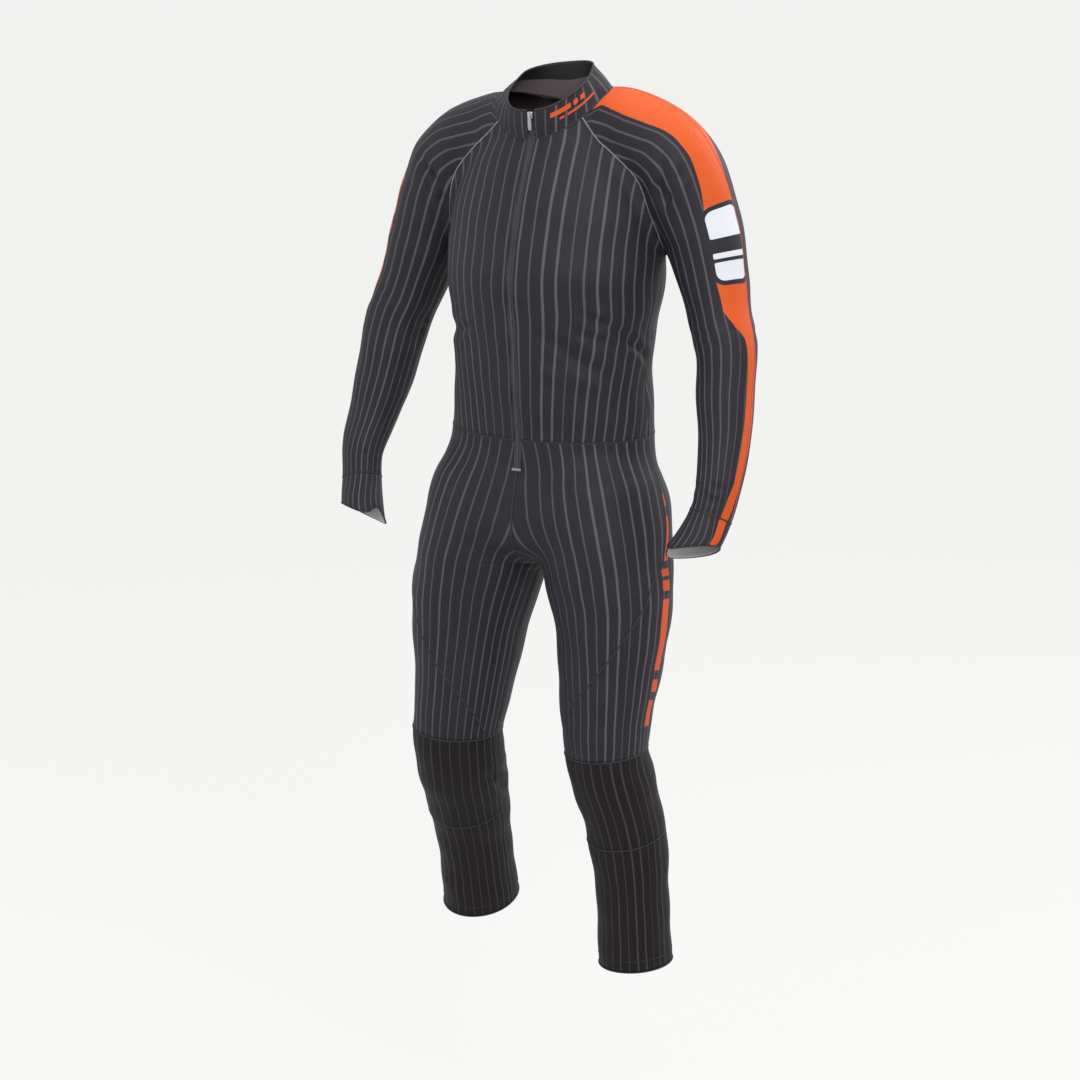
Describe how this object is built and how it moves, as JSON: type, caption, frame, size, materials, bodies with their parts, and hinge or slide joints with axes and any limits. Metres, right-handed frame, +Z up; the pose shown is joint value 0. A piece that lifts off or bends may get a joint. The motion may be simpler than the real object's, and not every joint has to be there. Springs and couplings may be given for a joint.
{
  "type": "ski race suit",
  "caption": "Skin-tight long-sleeved one-piece race suit of stretch cloth with a stand-up collar, a front zip and hand cuffs, worn and filled out with no wearer.",
  "frame": {"origin": "in the base of the neck between the shoulders, where the wearer holds the suit up", "axes": "+Z up, -Y out of the chest towards the front, +X to the wearer's left"},
  "size_m": [0.6698, 0.2987, 1.3616],
  "materials": {
    "cloth": "knitted stretch cloth with a slight sheen",
    "cloth_dark": "denser knitted stretch cloth",
    "zip": "woven tape and moulded coil",
    "metal": "satin die-cast zinc alloy"
  },
  "bodies": {
    "suit": {"collar": "cloth", "back": "cloth", "front_left": "cloth", "front_right": "cloth", "sleeve_front_left": "cloth", "sleeve_back_left": "cloth", "cuff_left": "cloth", "thigh_front_left": "cloth", "thigh_back_left": "cloth", "knee_left": "cloth_dark", "shin_left": "cloth_dark", "calf_left": "cloth_dark", "sleeve_front_right": "cloth", "sleeve_back_right": "cloth", "cuff_right": "cloth", "thigh_front_right": "cloth", "thigh_back_right": "cloth", "knee_right": "cloth_dark", "shin_right": "cloth_dark", "calf_right": "cloth_dark", "zip_tape_left": "zip", "zip_tape_right": "zip", "zip_chain": "zip", "zip_stop": "cloth", "zip_slider": "metal"},
    "zip_pull": {"zip_pull": "metal"}
  },
  "joints": [
    {"name": "pull_tab_swing", "type": "hinge", "parent": "suit", "child": "zip_pull", "pos_m": [0, -0.07916, -0.01573], "axis": [-1, 0, 0], "range_deg": [0, 150]}
  ]
}
